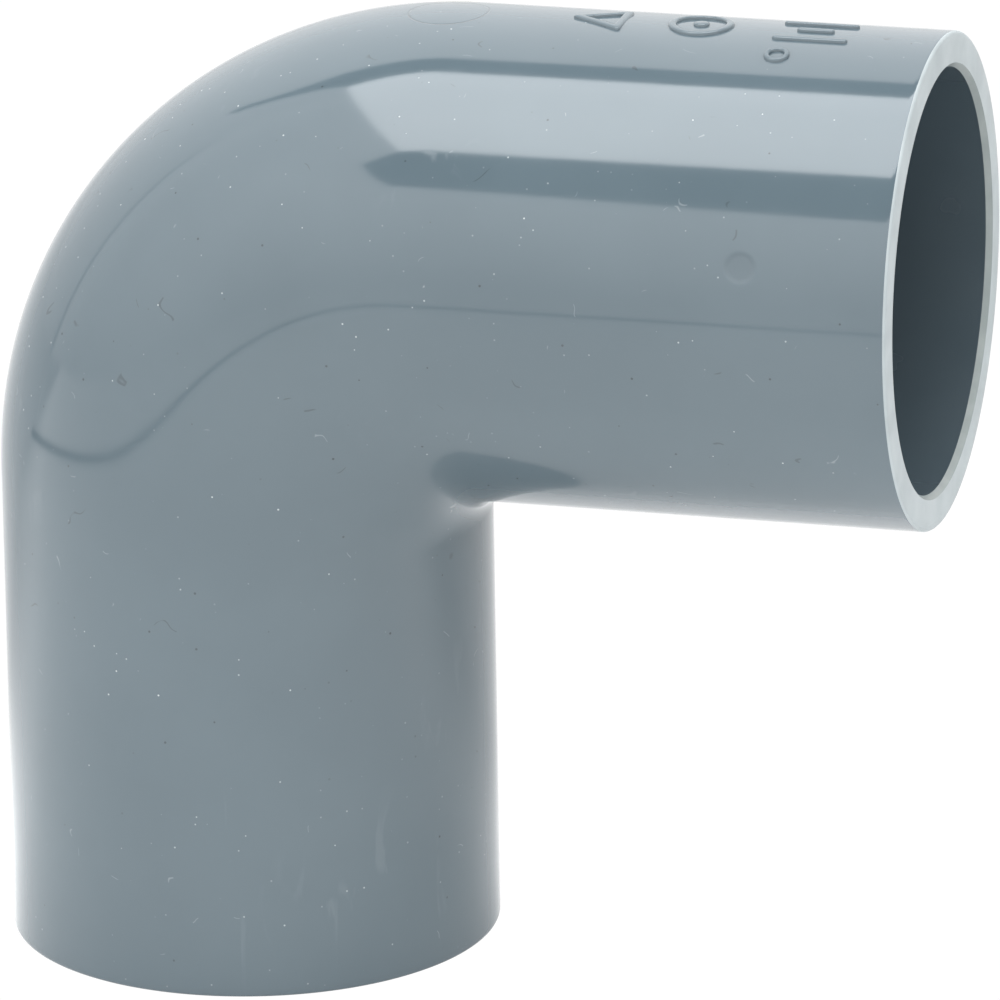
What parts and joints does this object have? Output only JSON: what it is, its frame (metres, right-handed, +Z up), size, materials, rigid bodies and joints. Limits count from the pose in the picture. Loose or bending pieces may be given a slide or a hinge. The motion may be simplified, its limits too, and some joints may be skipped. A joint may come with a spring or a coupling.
{
  "type": "pipe elbow fitting",
  "caption": "Grey PVC 90 degree pipe elbow with a plain solvent-weld socket in each mouth and one constant outside diameter.",
  "frame": {"origin": "centre of the lower mouth, in the plane of its rim, which is where the part stands", "axes": "+Z up the axis of the lower leg, +X along the axis of the side leg and out of its mouth, Y across, symmetric about Y = 0"},
  "size_m": [0.0919, 0.047, 0.0922],
  "materials": {
    "grey_pvc": "smooth moulded PVC with a soft gloss"
  },
  "bodies": {
    "root": {"elbow_body": "grey_pvc"}
  },
  "joints": []
}
